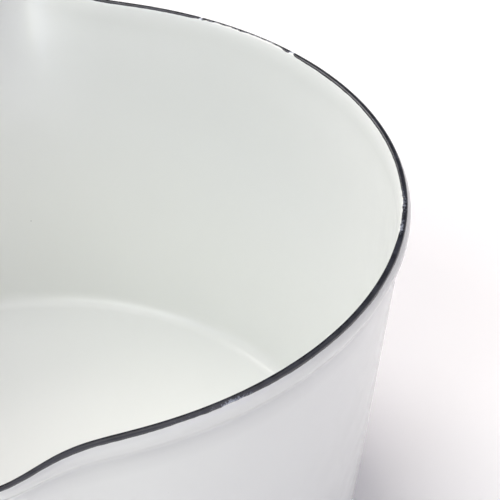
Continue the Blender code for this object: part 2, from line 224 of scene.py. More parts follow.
class Look:
    """A material that is built up node by node. Lengths are in metres.

    The colour and roughness it starts from show where its nodes can't be read.
    """

    def __init__(self, name, colour, roughness, metallic=0.0, on_handle=False):
        self.on_handle = on_handle
        self.material = bpy.data.materials.new(name)
        self.material.use_nodes = True
        self.tree = self.material.node_tree
        self.shader = self.tree.nodes["Principled BSDF"]
        self.set(**{"Base Color": (*colour, 1.0), "Roughness": roughness, "Metallic": metallic})

    def set(self, **values):
        for name, value in values.items():
            self.shader.inputs[name].default_value = value

    def node(self, kind, inputs=(), **settings):
        """A new node. Each input is a value or another node's output."""
        made = self.tree.nodes.new("ShaderNode" + kind)
        for name, value in settings.items():
            setattr(made, name, value)
        for name, value in dict(inputs).items():
            if isinstance(value, bpy.types.NodeSocket):
                self.tree.links.new(value, made.inputs[name])
            else:
                made.inputs[name].default_value = value
        return made

    def feed(self, name, output):
        self.tree.links.new(output, self.shader.inputs[name])

    def place(self, scale=(1, 1, 1), turn=(0, 0, 0)):
        """The object's own coordinates, or ones with Z along the handle, turned and scaled."""
        coords = self.node("TexCoord").outputs["Object"]
        if self.on_handle:
            axes = {"Vector": coords, "Location": HANDLE_ROOT, "Rotation": (0.0, HANDLE_TURN, 0.0)}
            coords = self.node("Mapping", axes, vector_type="TEXTURE").outputs["Vector"]
        inputs = {"Vector": coords, "Scale": scale, "Rotation": turn}
        return self.node("Mapping", inputs).outputs["Vector"]

    def noise(self, size, place=None, detail=2.0, rough=0.5):
        """Soft noise whose lumps are this size."""
        inputs = {"Scale": 1 / size, "Detail": detail, "Roughness": rough}
        inputs["Vector"] = place or self.place()
        return self.node("TexNoise", inputs).outputs["Fac"]

    def steps(self, value, low, high, to_low=0.0, to_high=1.0):
        """Maps low..high smoothly onto to_low..to_high."""
        inputs = {"Value": value, "From Min": low, "From Max": high, "To Min": to_low, "To Max": to_high}
        return self.node("MapRange", inputs, interpolation_type="SMOOTHSTEP").outputs["Result"]

    def vary(self, noise_value, low, high):
        """Spreads noise, most of which is between 0.3 and 0.7, over low..high."""
        return self.steps(noise_value, 0.3, 0.7, low, high)

    def maths(self, operation, first, second=0.0):
        made = self.node("Math", operation=operation)
        for socket, value in zip(made.inputs, (first, second)):
            if isinstance(value, bpy.types.NodeSocket):
                self.tree.links.new(value, socket)
            else:
                socket.default_value = value
        return made.outputs["Value"]

    def mix(self, share, first, second):
        """A blend of two colours, each a triple or a node's output."""
        made = self.node("Mix", data_type="RGBA")
        self.tree.links.new(share, made.inputs["Factor"])
        for socket, colour in zip((made.inputs[6], made.inputs[7]), (first, second)):
            if isinstance(colour, bpy.types.NodeSocket):
                self.tree.links.new(colour, socket)
            else:
                socket.default_value = (*colour, 1.0)
        return made.outputs[2]

    def relief(self, height, depth, below=None):
        """A bump of this depth, on top of an earlier one."""
        inputs = {"Height": height, "Distance": depth, "Strength": 1.0}
        if below:
            inputs["Normal"] = below
        return self.node("Bump", inputs).outputs["Normal"]


ENAMEL_TONES = ((0.792, 0.807, 0.782), (0.807, 0.821, 0.798))
# Painted shade: the greyer enamel tone painted into the crease under the rim's bead.
ENAMEL_CREASE_SHADE_TONE = (0.672, 0.684, 0.672)
PIN_POINT_TONE = (0.20, 0.20, 0.21)
PIN_POINT_SPACING = 11 * MM
PIN_POINT_SHARE = (0.86, 0.90)
COAT_TONES = ((0.010, 0.011, 0.017), (0.030, 0.033, 0.046))
# Painted sheen: the lighter tone painted on the coat's outer half.
COAT_SHEEN_TONE = (0.066, 0.068, 0.076)
RUBBED_COAT_TONE = (0.50, 0.54, 0.64)
STAINLESS_TONES = ((0.60, 0.595, 0.585), (0.71, 0.705, 0.69))
WIRE_TONES = ((0.61, 0.60, 0.59), (0.72, 0.715, 0.70))
ZINC_TONES = ((0.50, 0.52, 0.55), (0.64, 0.635, 0.60))
BOARD_TONES = ((0.60, 0.385, 0.215), (0.50, 0.30, 0.155))
LATE_WOOD_TONE = (0.405, 0.225, 0.108)
FLECK_TONE = (0.25, 0.125, 0.055)
PORE_TONE = (0.30, 0.16, 0.075)
BANDS_PER_METRE = 420.0


def white_enamel(name):
    """Glossy vitreous enamel with faint clouding, an uneven surface and a few dark pin points.

    It is painted a little greyer where the mesh's crease attribute is high: painted shade under the rim's
    bead.
    """
    look = Look(name, (0.80, 0.815, 0.79), 0.14)
    base = look.mix(look.steps(look.noise(30 * MM, detail=1.0), 0.1, 0.9), *ENAMEL_TONES)
    cells = look.node("TexVoronoi", {"Vector": look.place(), "Scale": 1 / PIN_POINT_SPACING})
    chance = look.node("SeparateColor", {"Color": cells.outputs["Color"]}).outputs["Red"]
    near = look.steps(cells.outputs["Distance"], 0.010, 0.018, 1.0, 0.0)
    pin = look.maths("MULTIPLY", near, look.steps(chance, *PIN_POINT_SHARE))
    # Painted shade: the enamel is mixed towards a greyer tone where the crease attribute is high.
    crease_shade = look.node("Attribute", attribute_name="crease_shade").outputs["Fac"]
    base = look.mix(crease_shade, base, ENAMEL_CREASE_SHADE_TONE)
    look.feed("Base Color", look.mix(pin, base, PIN_POINT_TONE))
    look.feed("Roughness", look.vary(look.noise(7 * MM, detail=4.0), 0.200, 0.265))
    peel = look.relief(look.noise(2.6 * MM, detail=1.0), 0.010 * MM)
    look.feed("Normal", look.relief(look.noise(14 * MM, detail=0.0), 0.05 * MM, below=peel))
    look.set(**{"Coat Weight": 0.12, "Coat Roughness": 0.16})
    return look.material


def dark_enamel(name):
    """Blue-black enamel, with a painted sheen that lightens it in patches where the mesh's thin attribute
    is high, and rubbed away where wear is.
    """
    look = Look(name, (0.016, 0.018, 0.026), 0.22)
    wear = look.node("Attribute", attribute_name="wear").outputs["Fac"]
    grain = look.noise(0.6 * MM, detail=4.0, rough=0.75)
    rubbed = look.steps(look.maths("ADD", wear, look.maths("MULTIPLY", grain, 1.3)), 0.96, 1.44)
    coat = look.mix(look.steps(look.noise(3.0 * MM, detail=3.0), 0.35, 0.75), *COAT_TONES)
    # Painted sheen: the coat's outer half, where thin is high, is painted lighter in patches.
    thin = look.node("Attribute", attribute_name="thin").outputs["Fac"]
    patches = look.steps(look.noise(5 * MM, detail=3.0), 0.3, 0.6, 0.35, 1.0)
    coat = look.mix(look.maths("MULTIPLY", thin, patches), coat, COAT_SHEEN_TONE)
    look.feed("Base Color", look.mix(rubbed, coat, RUBBED_COAT_TONE))
    look.feed("Roughness", look.vary(look.noise(1.2 * MM, detail=3.0), 0.16, 0.26))
    look.feed("Normal", look.relief(look.noise(1.6 * MM, detail=2.0), 0.02 * MM))
    return look.material


def stainless(name, level=0.24):
    """Stainless steel with fine marks round the handle's axis."""
    look = Look(name, (0.66, 0.655, 0.64), level, 1.0, on_handle=True)
    marks = look.noise(0.09 * MM, look.place(scale=(0.02, 0.02, 1.0)), detail=3.0, rough=0.7)
    smears = look.noise(5 * MM, detail=4.0)
    look.feed("Base Color", look.mix(smears, *STAINLESS_TONES))
    look.feed("Roughness", look.vary(smears, level - 0.05, level + 0.03))
    look.feed("Normal", look.relief(marks, 0.006 * MM))
    look.set(Anisotropic=0.4)
    return look.material


def drawn_steel(name, level):
    """Polished drawn wire with short, faint scratches."""
    look = Look(name, (0.68, 0.675, 0.66), level, 1.0)
    smears = look.noise(3 * MM, detail=5.0)
    marks = look.noise(0.25 * MM, look.place(scale=(0.25, 1.0, 1.0), turn=(0.3, 0.5, 0.2)), detail=3.0)
    look.feed("Base Color", look.mix(smears, *WIRE_TONES))
    look.feed("Roughness", look.vary(smears, level - 0.06, level + 0.10))
    look.feed("Normal", look.relief(marks, 0.005 * MM))
    return look.material


def zinc_steel(name):
    """Zinc-plated steel: a cool, slightly clouded grey."""
    look = Look(name, (0.58, 0.59, 0.60), 0.36, 1.0)
    clouds = look.noise(2.5 * MM, detail=4.0)
    look.feed("Base Color", look.mix(clouds, *ZINC_TONES))
    look.feed("Roughness", look.vary(clouds, 0.28, 0.46))
    look.feed("Normal", look.relief(look.noise(0.3 * MM, detail=3.0), 0.006 * MM))
    return look.material


def beech(name):
    """Oiled beech with its grain along Z: growth bands, short dark flecks and fine pores."""
    look = Look(name, (0.55, 0.36, 0.20), 0.45, on_handle=True)
    tilt = (0.02, 0.035, 0.0)
    along = look.place(scale=(1.0, 1.0, 0.07), turn=tilt)
    across = look.node("SeparateXYZ", {"Vector": along}).outputs["X"]
    drift = look.maths("MULTIPLY", look.noise(7 * MM, along, detail=2.0), 3.2)
    straight_bands = look.maths("MULTIPLY", across, BANDS_PER_METRE)
    bands = look.maths("FRACT", look.maths("ADD", straight_bands, drift))
    late = look.steps(look.maths("ABSOLUTE", look.maths("SUBTRACT", bands, 0.8)), 0.0, 0.42, 1.0, 0.0)
    board = look.mix(look.noise(15 * MM, along, detail=2.0), *BOARD_TONES)
    grown = look.mix(look.maths("MULTIPLY", late, 0.55), board, LATE_WOOD_TONE)
    short = look.place(scale=(1.0, 1.0, 0.13), turn=tilt)
    flecks = look.steps(look.noise(0.42 * MM, short, detail=1.0), 0.66, 0.74)
    flecked = look.mix(look.maths("MULTIPLY", flecks, 0.75), grown, FLECK_TONE)
    fine = look.place(scale=(1.0, 1.0, 0.05))
    pores = look.steps(look.noise(0.16 * MM, fine, detail=2.0), 0.60, 0.72)
    look.feed("Base Color", look.mix(look.maths("MULTIPLY", pores, 0.45), flecked, PORE_TONE))
    look.feed("Roughness", look.vary(look.noise(4 * MM, along, detail=4.0), 0.36, 0.52))
    grooves = look.maths("ADD", look.maths("MULTIPLY", flecks, -0.6), look.maths("MULTIPLY", pores, -0.8))
    look.feed("Normal", look.relief(grooves, 0.03 * MM))
    look.set(**{"Coat Weight": 0.12, "Coat Roughness": 0.25, "Specular IOR Level": 0.45})
    return look.material


# ---------------------------------------------------------------- vessel and its dark rim

def outer_wall_radius(height):
    return WALL_RADIUS_AT_RIM - WALL_TAPER * (HEIGHT - height)


def inner_wall_radius(height):
    return outer_wall_radius(height) - WALL_THICKNESS / math.cos(LEAN)


def corner_fillet(wall_radius, floor_height, fillet, steps):
    """The arc between a level floor and the leaning wall, from the wall to the floor."""
    height = floor_height + fillet
    centre = (wall_radius(height) - fillet / math.cos(LEAN), height)
    return arc(centre, fillet, -math.degrees(LEAN), -90, steps)


def lip_push(angle, height):
    """How far the wall stands out past the round."""
    rise = 1 - (HEIGHT - height) / LIP_DEPTH
    if rise <= 0:
        return 0.0
    total = 0.0
    for middle in LIP_ANGLES:
        turn = math.remainder(angle - middle, math.tau) / LIP_SPREAD
        total += math.exp(-turn * turn / 2)
    return LIP_REACH * total * min(rise, 1.0) ** LIP_FADE_POWER


def crowded_angle(column, columns):
    """A column's plan angle. The columns crowd towards the lips."""
    angle = math.tau * column / columns
    return angle + SEGMENT_CROWDING * math.sin(2 * angle)


def wave(angle, height):
    """The pressed wall is never quite round. The wave fades out at the foot and the rim."""
    spot = Vector((math.cos(angle), math.sin(angle), height / RIM_RADIUS)) * (RIM_RADIUS / WAVE_LENGTH)
    fade = smooth_step(height / WAVE_FADE) * smooth_step((HEIGHT - height - WAVE_START) / WAVE_FADE)
    return WAVE_HEIGHT * noise.noise(spot) * fade


def pressed_row(radius, height):
    """Points round the vessel at a height, pushed out at the lips."""
    row = []
    for column in range(VESSEL_COLUMNS):
        angle = crowded_angle(column, VESSEL_COLUMNS)
        reach = radius + wave(angle, height) + lip_push(angle, height)
        row.append((reach * math.cos(angle), reach * math.sin(angle), height))
    return row


# The rim's section in millimetres, as (radius, depth), from the inside over the top to the wall.
INSIDE_FLARE = (
    (77.76, 12.0), (78.30, 8.0), (78.55, 5.6), (78.63, 4.2), (78.74, 2.9), (78.92, 1.8), (79.16, 0.90),
)
EDGE_TOP = (
    (79.38, 0.39), (79.46, 0.21), (79.64, 0.10), (79.98, 0.08), (80.30, 0.11), (80.47, 0.22), (80.54, 0.41),
)
OUTSIDE_BEAD = (
    (80.57, 0.66), (80.66, 0.90), (80.88, 1.15), (81.13, 1.50), (81.26, 2.0), (81.25, 2.6), (81.10, 3.2),
    (80.80, 3.8), (80.44, 4.4), (80.13, 5.0), (79.91, 5.7), (79.79, 6.5), (79.68, 7.5),
)
RIM_STEPS = 4
# How many points of the rim's line come before its crest, and before its outside bead.
CREST_STEPS = (len(INSIDE_FLARE) + 2) * RIM_STEPS
TOP_STEPS = (len(INSIDE_FLARE) + len(EDGE_TOP)) * RIM_STEPS
FOOT_STEPS = 12
CORNER_STEPS = 16
WALL_STEPS = 24
UNDERSIDE_STEPS = 6
FLOOR_STEPS = 10


def rim_line():
    points = [(r * MM, HEIGHT - d * MM) for r, d in INSIDE_FLARE + EDGE_TOP + OUTSIDE_BEAD]
    return catmull(points, RIM_STEPS)


def vessel_outline():
    """The bowl's section in two lines: up the inside, then over the rim and down the outside."""
    rim = rim_line()
    foot = corner_fillet(outer_wall_radius, 0.0, FOOT_FILLET, FOOT_STEPS)
    corner = corner_fillet(inner_wall_radius, BASE_THICKNESS, FLOOR_FILLET, CORNER_STEPS)
    corner.reverse()
    underside_pole, floor_pole = (POLE_RADIUS, 0.0), (POLE_RADIUS, BASE_THICKNESS)
    up = [floor_pole] + straight(floor_pole, corner[0], FLOOR_STEPS)
    up += corner + straight(corner[-1], rim[0], WALL_STEPS)
    down = rim + straight(rim[-1], foot[0], WALL_STEPS) + foot
    down += straight(foot[-1], underside_pole, UNDERSIDE_STEPS) + [underside_pole]
    return up, down


def add_vessel():
    up, down = vessel_outline()
    rows = [pressed_row(radius, height) for radius, height in up + down]
    mesh = grid_mesh("vessel_fine", rows, closed=False)
    # Painted shade: each row's share of the greyer tone, highest at the crease under the bead.
    crease_shades = [0.0] * (len(up) + TOP_STEPS)
    depths = [HEIGHT - height for _, height in down[TOP_STEPS:]]
    crease_shades += [bump_at(depth, CREASE_DEPTH, CREASE_HALF_WIDTH) for depth in depths]
    store(mesh, "crease_shade", [grey for grey in crease_shades for _ in range(VESSEL_COLUMNS)])
    add_piece("vessel_fine", mesh, white_enamel("vessel_enamel"), "white_enamel", PAN, "vessel")


# Worn stretches of the coat's two edges: plan angle and half width in degrees, how far the edge
# draws back in millimetres, and how much of the coat beside it is rubbed through.
NICKS = ((40.3, 0.36, 1.3, 1.4), (58.8, 0.20, 1.1, 1.2), (171.0, 0.6, 1.3, 1.4))
INNER_WEAR = NICKS + (
    (-12.5, 2.4, 0.34, 0.50), (-6.0, 3.6, 0.38, 0.46), (43.5, 4.5, 0.39, 0.22), (48.0, 4.5, 0.34, 0.23),
    (52.5, 4.5, 0.36, 0.20), (57.0, 3.5, 0.48, 0.26), (128.0, 4.0, 0.30, 0.30), (-118.0, 1.6, 0.25, 0.40),
)
OUTER_WEAR = NICKS + (
    (-57.2, 3.4, 0.16, 0.60), (-64.0, 3.6, 0.12, 0.26), (-70.0, 3.0, 0.08, 0.10), (128.0, 3.0, 0.20, 0.30),
    (-152.0, 5.0, 0.25, 0.40), (-122.0, 2.0, 0.20, 0.35),
)
COAT_INNER_DEPTH = 0.40 * MM
COAT_OUTER_DEPTH = 0.80 * MM
EDGE_WANDER = 0.07 * MM
SLOW_WANDER_LENGTH = 6 * MM
FINE_WANDER_LENGTH = 1.3 * MM
INNER_SEED = 1.0
OUTER_SEED = 5.0
RAGGED_SEED_STEP = 4


def line_lengths(line):
    """The running length at each point of a line."""
    lengths = [0.0]
    for a, b in zip(line, line[1:]):
        lengths.append(lengths[-1] + math.dist(a, b))
    return lengths


def point_on(line, lengths, length, lift):
    """A point at a length along a line, lifted off its outer side."""
    i = 1
    while i < len(line) - 1 and lengths[i] < length:
        i += 1
    (x0, z0), (x1, z1) = line[i - 1], line[i]
    span = lengths[i] - lengths[i - 1]
    share = (length - lengths[i - 1]) / span
    across = ((z0 - z1) / span, (x1 - x0) / span)
    return (x0 + (x1 - x0) * share + across[0] * lift, z0 + (z1 - z0) * share + across[1] * lift)


def edge_noise(angle, seed):
    """Wander of the coat's edge: a slow drift with a fine ragged part on it, about -1 to 1."""
    spot = Vector((math.cos(angle), math.sin(angle), seed))
    slow = noise.noise(spot * (RIM_RADIUS / SLOW_WANDER_LENGTH))
    fine = noise.noise(spot * (RIM_RADIUS / FINE_WANDER_LENGTH))
    return slow + 0.8 * fine


def worn_edge(angle, stretches, seed):
    """How far an edge of the coat draws back at a plan angle, and the share rubbed through."""
    back = EDGE_WANDER * edge_noise(angle, seed)
    rubbed = 0.0
    ragged = 1 + 0.7 * edge_noise(angle, seed + RAGGED_SEED_STEP)
    for middle, half_width, depth, share in stretches:
        turn = math.degrees(math.remainder(angle - math.radians(middle), math.tau))
        here = bump_at(turn, 0.0, half_width)
        back += here * depth * MM * ragged
        rubbed += here * share
    return back, rubbed


def add_rim_coat():
    """A thin ring that wraps the rim's edge, from just inside it to the top of the bead."""
    rim = rim_line()
    lengths = line_lengths(rim)
    inner = [i for i in range(CREST_STEPS) if HEIGHT - rim[i][1] < COAT_INNER_DEPTH]
    outer = [i for i in range(CREST_STEPS, len(rim)) if HEIGHT - rim[i][1] < COAT_OUTER_DEPTH]
    first, last = lengths[inner[0]], lengths[outer[-1]]
    shares = [i / COAT_ROWS for i in range(COAT_ROWS + 1)]
    skin = [(share, COAT_THICKNESS * (1 - abs(2 * share - 1) ** 6)) for share in shares]
    skin += [(share, -COAT_BEDDING) for share in reversed(shares[1:-1])]
    columns, wears, sheens = [], [], []
    for column in range(COAT_COLUMNS):
        angle = crowded_angle(column, COAT_COLUMNS)
        inner_back, inner_rubbed = worn_edge(angle, INNER_WEAR, INNER_SEED)
        outer_back, outer_rubbed = worn_edge(angle, OUTER_WEAR, OUTER_SEED)
        start = first + inner_back
        width = max(last - outer_back - start, COAT_THICKNESS)
        points, wear, thin = [], [], []
        for share, lift in skin:
            radius, height = point_on(rim, lengths, start + width * share, lift)
            reach = radius + lip_push(angle, height)
            points.append((reach * math.cos(angle), reach * math.sin(angle), height))
            inner_share = smooth_step(1.5 - 2 * share)
            outer_share = smooth_step(1.5 * share - 0.4)
            wear.append(inner_rubbed * inner_share + outer_rubbed * outer_share)
            # Painted sheen: the coat's outer half, stored as thin, is painted lighter.
            thin.append(outer_share)
        columns.append(points)
        wears.append(wear)
        sheens.append(thin)
    mesh = grid_mesh("rim_coat", [list(row) for row in zip(*columns)])
    store(mesh, "wear", [value for row in zip(*wears) for value in row])
    # The thin attribute carries the painted sheen on the coat's outer half.
    store(mesh, "thin", [value for row in zip(*sheens) for value in row])
    add_piece("rim_coat", mesh, dark_enamel("rim_enamel_coat"), "dark_enamel", PAN, "rim_enamel")


# ---------------------------------------------------------------- handle

HANDLE_ROOT = Vector((-outer_wall_radius(HANDLE_HEIGHT), 0.0, HANDLE_HEIGHT))
HANDLE_TURN = HANDLE_TILT - math.pi / 2
HANDLE_FRAME = Matrix.Translation(HANDLE_ROOT) @ Matrix.Rotation(HANDLE_TURN, 4, "Y")

# Spot welds, as shares of the plate's half width and half height.
WELD_SPOTS = ((-0.68, 0.0), (0.68, 0.0))
WELD_RADIUS = 2.3 * MM
WELD_DEPTH = 0.35 * MM
PLATE_EDGE_RADIUS = 1.2 * MM
PLATE_SEAM = 0.7 * MM
PLATE_COLUMNS = 192
PLATE_TUCK = 0.3 * MM
PLATE_POLE = PLATE_HALF_HEIGHT - 0.5 * MM
FACE_ROWS = 22
EDGE_ROWS = 8
SEAM_ROWS = 5


def plate_lift(inset, across, up):
    """How far the plate's skin stands off the wall, at a distance in from its edge."""
    if inset < 0:
        seam = max(0.0, 1 + inset / PLATE_SEAM)
        return 0.35 * PLATE_THICKNESS * seam ** 2.2 - 0.05 * MM
    share = min(inset / PLATE_EDGE_RADIUS, 1.0)
    lift = PLATE_THICKNESS * (0.32 + 0.68 * math.sqrt(1 - (1 - share) ** 2))
    for spot_across, spot_up in WELD_SPOTS:
        aside = (across - spot_across) * PLATE_HALF_ANGLE * RIM_RADIUS
        away = math.hypot(aside, (up - spot_up) * PLATE_HALF_HEIGHT)
        lift -= WELD_DEPTH * (1 - smooth_step(away / WELD_RADIUS))
    return lift


def plate_point(across, up, lift):
    height = HANDLE_HEIGHT + PLATE_HALF_HEIGHT * up
    radius = outer_wall_radius(height) + lift
    angle = math.pi + PLATE_HALF_ANGLE * across
    return (radius * math.cos(angle), radius * math.sin(angle), height)


def plate_row(inset, lift=None):
    """A loop round the plate at a distance in from its rounded-square edge."""
    row = []
    half_width = PLATE_HALF_ANGLE * RIM_RADIUS
    for column in range(PLATE_COLUMNS):
        turn = math.tau * column / PLATE_COLUMNS
        x, y = math.cos(turn), math.sin(turn)
        size = (abs(x) ** PLATE_SQUARENESS + abs(y) ** PLATE_SQUARENESS) ** (1 / PLATE_SQUARENESS)
        x, y = x / size, y / size
        reach = math.hypot(x * half_width, y * PLATE_HALF_HEIGHT)
        share = 1 - inset / reach
        stand = plate_lift(inset, x * share, y * share) if lift is None else lift
        row.append(plate_point(x * share, y * share, stand))
    return row


def add_handle_plate():
    insets = [PLATE_POLE - (PLATE_POLE - PLATE_EDGE_RADIUS) * i / FACE_ROWS for i in range(FACE_ROWS)]
    insets += [PLATE_EDGE_RADIUS * (1 - math.sin(math.pi / 2 * i / EDGE_ROWS)) for i in range(EDGE_ROWS)]
    insets += [-PLATE_SEAM * i / SEAM_ROWS for i in range(SEAM_ROWS + 1)]
    rows = [plate_row(inset) for inset in insets]
    rows += [plate_row(-PLATE_SEAM, -PLATE_TUCK), plate_row(PLATE_POLE, -PLATE_TUCK)]
    mesh = grid_mesh("plate_fine", rows, closed=False)
    add_piece("plate_fine", mesh, white_enamel("plate_enamel"), "white_enamel", PAN, "handle_plate")


# The socket's thickened mouth, as (distance in from the skin, distance back from the end).
MOUTH_BEAD = (
    (SOCKET_THICKNESS / 3, 0.0), (0.12 * MM, 0.12 * MM), (-0.08 * MM, 0.5 * MM),
    (-0.14 * MM, 0.9 * MM), (-0.10 * MM, 1.4 * MM), (0.0, 2.0 * MM),
)
ROOT_STEPS = 10
SKIN_STEPS = 16
BORE_STEPS = 12
ROOT_TUCK = 0.4 * MM


def socket_radius(place):
    return SOCKET_ROOT_RADIUS + (SOCKET_MOUTH_RADIUS - SOCKET_ROOT_RADIUS) * place / SOCKET_END


def place_on_plate(radius, turn):
    """Where a line beside the handle's axis comes out of the plate, as a place along the axis."""
    low, high = -8 * MM, 12 * MM
    for _ in range(30):
        place = (low + high) / 2
        spot = HANDLE_FRAME @ Vector((radius * math.cos(turn), radius * math.sin(turn), place))
        if math.hypot(spot.x, spot.y) < outer_wall_radius(spot.z) + PLATE_THICKNESS:
            low = place
        else:
            high = place
    return place


def add_handle_socket():
    """A tapered tube with a thickened mouth, run into the plate with a fillet."""
    columns = []
    for column in range(HANDLE_COLUMNS):
        turn = math.tau * column / HANDLE_COLUMNS
        places = [(inset, SOCKET_END - back) for inset, back in MOUTH_BEAD]
        line = [(socket_radius(p) - inset, p) for inset, p in places]
        root = place_on_plate(SOCKET_ROOT_RADIUS + ROOT_FILLET, turn)
        start = root + ROOT_FILLET
        line += [(socket_radius(p), p) for _, p in straight((0, line[-1][1]), (0, start), SKIN_STEPS)]
        for i in range(ROOT_STEPS + 1):
            a = math.pi / 2 * i / ROOT_STEPS
            radius = socket_radius(start) + ROOT_FILLET * (1 - math.cos(a))
            along = place_on_plate(radius, turn) - root
            line.append((radius, start + along * i / ROOT_STEPS - ROOT_FILLET * math.sin(a)))
        inner = place_on_plate(SOCKET_ROOT_RADIUS - SOCKET_THICKNESS, turn) - ROOT_TUCK
        line.append((line[-1][0] + 0.3 * MM, line[-1][1] - 0.5 * MM))
        line.append((socket_radius(inner) - SOCKET_THICKNESS, inner - ROOT_TUCK))
        bore = straight((0, inner), (0, SOCKET_END), BORE_STEPS)
        line += [(socket_radius(p) - SOCKET_THICKNESS, p) for _, p in bore]
        line.append((SOCKET_MOUTH_RADIUS - SOCKET_THICKNESS + 0.1 * MM, SOCKET_END))
        columns.append([(r * math.cos(turn), r * math.sin(turn), z) for r, z in line])
    mesh = grid_mesh("socket_fine", [list(row) for row in zip(*columns)])
    look = white_enamel("socket_enamel")
    add_piece("socket_fine", mesh, look, "white_enamel", PAN, "handle_socket", place=HANDLE_FRAME)


def add_turned(name, outline, material, slot, node, sharp=40):
    """A piece turned about the handle's axis. The outline runs down the outer side."""
    mesh = grid_mesh(name, turned_rows(outline, HANDLE_COLUMNS))
    add_piece(name, mesh, material, slot, PAN, node, place=HANDLE_FRAME, sharp=sharp)


THREAD_PITCH = 0.8 * MM
THREAD_CUT = 0.35 * MM
ROWS_PER_PITCH = 8
ROD_COLUMNS = 32
ROD_TIP_RADIUS = 0.7 * ROD_RADIUS
ROD_TIP_LENGTH = 0.2 * MM
FRONT_THREAD = (ROD_START, ANCHOR_END + 4 * MM)
TAIL_THREAD = (WASHER_START - 4 * MM, ROD_END)


def thread_depth(place, start, end, turn):
    """A V thread's cut at a place and a turn, fading out at both ends of its length."""
    phase = (place / THREAD_PITCH - turn / math.tau) % 1.0
    fade = smooth_step((place - start) / THREAD_PITCH) * smooth_step((end - place) / THREAD_PITCH)
    return abs(2 * phase - 1) * fade


def add_tie_rod():
    """A plain rod with an M5 thread at either end."""
    places = []
    for start, end in (FRONT_THREAD, TAIL_THREAD):
        count = round((end - start) / THREAD_PITCH * ROWS_PER_PITCH)
        places += [start + (end - start) * i / count for i in range(count + 1)]
    rows = []
    for place in reversed(places):
        row = []
        for column in range(ROD_COLUMNS):
            turn = math.tau * column / ROD_COLUMNS
            cut = sum(thread_depth(place, start, end, turn)
                      for start, end in (FRONT_THREAD, TAIL_THREAD) if start <= place <= end)
            radius = ROD_RADIUS - THREAD_CUT * cut
            row.append((radius * math.cos(turn), radius * math.sin(turn), place))
        rows.append(row)
    tips = [(ROD_TIP_RADIUS, ROD_END + ROD_TIP_LENGTH), (ROD_TIP_RADIUS, ROD_START - ROD_TIP_LENGTH)]
    tail, front = turned_rows(tips, ROD_COLUMNS)
    rows = [tail, *rows, front]
    mesh = grid_mesh("rod_fine", rows, closed=False)
    look = zinc_steel("rod_zinc")
    add_piece("rod_fine", mesh, look, "steel", PAN, "tie_rod", place=HANDLE_FRAME, sharp=60)


def add_rod_anchor():
    chamfer = 0.35 * MM
    fit = SOCKET_THICKNESS + TOUCH_GAP
    front, back = socket_radius(ANCHOR_START) - fit, socket_radius(ANCHOR_END) - fit
    outline = [
        (back - chamfer, ANCHOR_END), (back, ANCHOR_END - chamfer),
        (front, ANCHOR_START + chamfer), (front - chamfer, ANCHOR_START),
        (BORE_RADIUS + chamfer, ANCHOR_START), (BORE_RADIUS, ANCHOR_START + chamfer),
        (BORE_RADIUS, ANCHOR_END - chamfer), (BORE_RADIUS + chamfer, ANCHOR_END),
    ]
    add_turned("anchor_fine", outline, zinc_steel("anchor_zinc"), "steel", "rod_anchor")


FERRULE_GROOVES = (0.16, 0.84)
GROOVE_HALF_WIDTH = 0.035
GROOVE_DEPTH = 0.22 * MM


def ferrule_radius(share):
    """The ferrule's skin from its small end, at 0, to its large end, at 1, with two grooves."""
    radius = FERRULE_SMALL_RADIUS + (FERRULE_LARGE_RADIUS - FERRULE_SMALL_RADIUS) * share
    radius += FERRULE_CROWN * math.sin(math.pi * share)
    grooves = sum(bump_at(share, place, GROOVE_HALF_WIDTH) for place in FERRULE_GROOVES)
    return radius - GROOVE_DEPTH * grooves


def add_ferrule():
    steps = 60
    edge = 0.25 * MM
    bore = TENON_RADIUS + TOUCH_GAP
    outline = [(bore, FERRULE_END), (ferrule_radius(1.0) - edge, FERRULE_END)]
    for i in range(steps + 1):
        share = 1 - (0.03 + 0.94 * i / steps)
        outline.append((ferrule_radius(share), FERRULE_START + FERRULE_LENGTH * share))
    outline += [(ferrule_radius(0.0) - edge, FERRULE_START), (bore, FERRULE_START)]
    add_turned("ferrule_fine", outline, stainless("ferrule_steel"), "polished_steel", "ferrule")


def grip_radius(share):
    """The grip's outer radius from its shoulder, at 0, to its tail, at 1."""
    if share < GRIP_BELLY_SHARE:
        turn = math.pi * share / GRIP_BELLY_SHARE
        return GRIP_NECK_RADIUS + (GRIP_BELLY_RADIUS - GRIP_NECK_RADIUS) * (1 - math.cos(turn)) / 2
    turn = math.pi * (share - GRIP_BELLY_SHARE) / (1 - GRIP_BELLY_SHARE)
    return GRIP_BELLY_RADIUS + (GRIP_TAIL_RADIUS - GRIP_BELLY_RADIUS) * (1 - math.cos(turn)) / 2


def add_grip():
    """Turned beech with a tenon, an eased shoulder, a rounded tail and a bore right through."""
    steps = 110
    shoulder = 0.7 * MM
    length = GRIP_LENGTH - GRIP_END_ROUNDING
    tail = (grip_radius(1.0) - GRIP_END_ROUNDING, GRIP_END - GRIP_END_ROUNDING)
    mouth_chamfer = 0.5 * MM
    mouth = (BORE_RADIUS + mouth_chamfer, GRIP_END)
    outline = [mouth] + straight(mouth, (tail[0], GRIP_END), 6) + arc(tail, GRIP_END_ROUNDING, 90, 0, 14)
    for i in range(1, steps):
        share = 1 - i / steps
        outline.append((grip_radius(share), GRIP_START + length * share))
    neck = (GRIP_NECK_RADIUS - shoulder, GRIP_START + shoulder)
    outline += arc(neck, shoulder, 0, -90, 6)
    outline += [(TENON_RADIUS, GRIP_START), (TENON_RADIUS, TENON_START + shoulder)]
    outline += [(TENON_RADIUS - shoulder, TENON_START), (BORE_RADIUS, TENON_START)]
    outline += [(BORE_RADIUS, GRIP_END - mouth_chamfer)]
    add_turned("grip_fine", outline, beech("grip_beech"), "wood", "grip", sharp=50)


